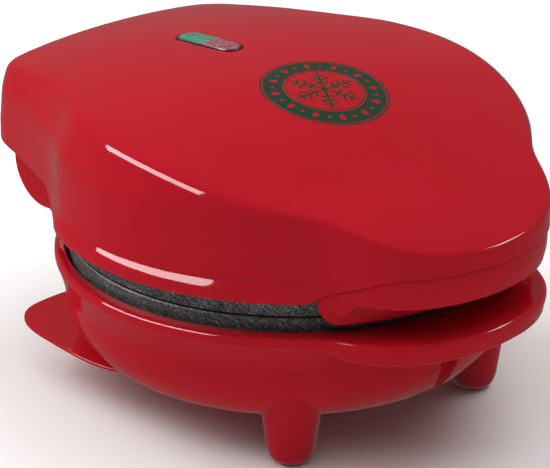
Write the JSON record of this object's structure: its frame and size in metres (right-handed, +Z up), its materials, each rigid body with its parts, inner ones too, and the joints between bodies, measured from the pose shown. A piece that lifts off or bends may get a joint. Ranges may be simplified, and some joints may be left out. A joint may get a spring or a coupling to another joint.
{
  "type": "mini waffle maker",
  "caption": "Compact round waffle maker with a domed hinged lid, studded non-stick plates, front grip, rear cord plate and short conical feet.",
  "frame": {"origin": "centre of the whole part's box at the height of the table it stands on", "axes": "+Z up, -Y towards the nose and grip (front), +Y towards the hinge tail, +X to the right seen from the front"},
  "size_m": [0.1328, 0.1645, 0.0906],
  "materials": {
    "red_shell": "glossy deep red moulded plastic",
    "red_cover": "satin deep red moulded plastic",
    "plate_coating": "dark grey speckled non-stick coating on die-cast aluminium",
    "element_steel": "sheathed heating element",
    "shield_aluminium": "pressed sheet",
    "screw_steel": "zinc-plated",
    "pin_steel": "turned",
    "pad_rubber": "matt",
    "bush_rubber": "matt",
    "white_insulator": "matt heat-resistant moulding",
    "thermostat_case": "moulded phenolic",
    "fuse_case": "drawn can",
    "lamp_frame_plastic": "dark polished recess",
    "lens_green": "translucent green",
    "lens_red": "translucent pinkish red",
    "lamp_glass": "clear",
    "lead_sleeve": "woven glass-fibre sleeve"
  },
  "bodies": {
    "base": {"base_housing": "red_shell", "base_leads": "lead_sleeve", "bottom_cover": "red_cover", "bottom_cover_screws": "screw_steel", "cord_clamp": "white_insulator", "cord_clamp_screws": "screw_steel", "cord_inlet_bush": "bush_rubber", "foot_pads": "pad_rubber", "hinge_pin_left": "pin_steel", "hinge_pin_right": "pin_steel", "lower_element": "element_steel", "lower_heat_shield": "shield_aluminium", "lower_plate": "plate_coating", "lower_plate_screws": "screw_steel", "terminal_block": "white_insulator"},
    "lid": {"lid_housing": "red_shell", "grip_lower": "red_shell", "grip_screws": "screw_steel", "upper_plate": "plate_coating", "upper_element": "element_steel", "upper_heat_shield": "shield_aluminium", "upper_plate_screws": "screw_steel", "thermostat": "thermostat_case", "thermal_fuse": "fuse_case", "fuse_clip": "pin_steel", "lamp_frame": "lamp_frame_plastic", "lens_green": "lens_green", "lens_red": "lens_red", "lamp_holder": "white_insulator", "neon_lamps": "lamp_glass", "lid_leads": "lead_sleeve"}
  },
  "joints": [
    {"name": "lid_hinge", "type": "hinge", "parent": "base", "child": "lid", "pos_m": [0, 0.06075, 0.0534], "axis": [-1, 0, 0], "range_deg": [0, 100]}
  ]
}
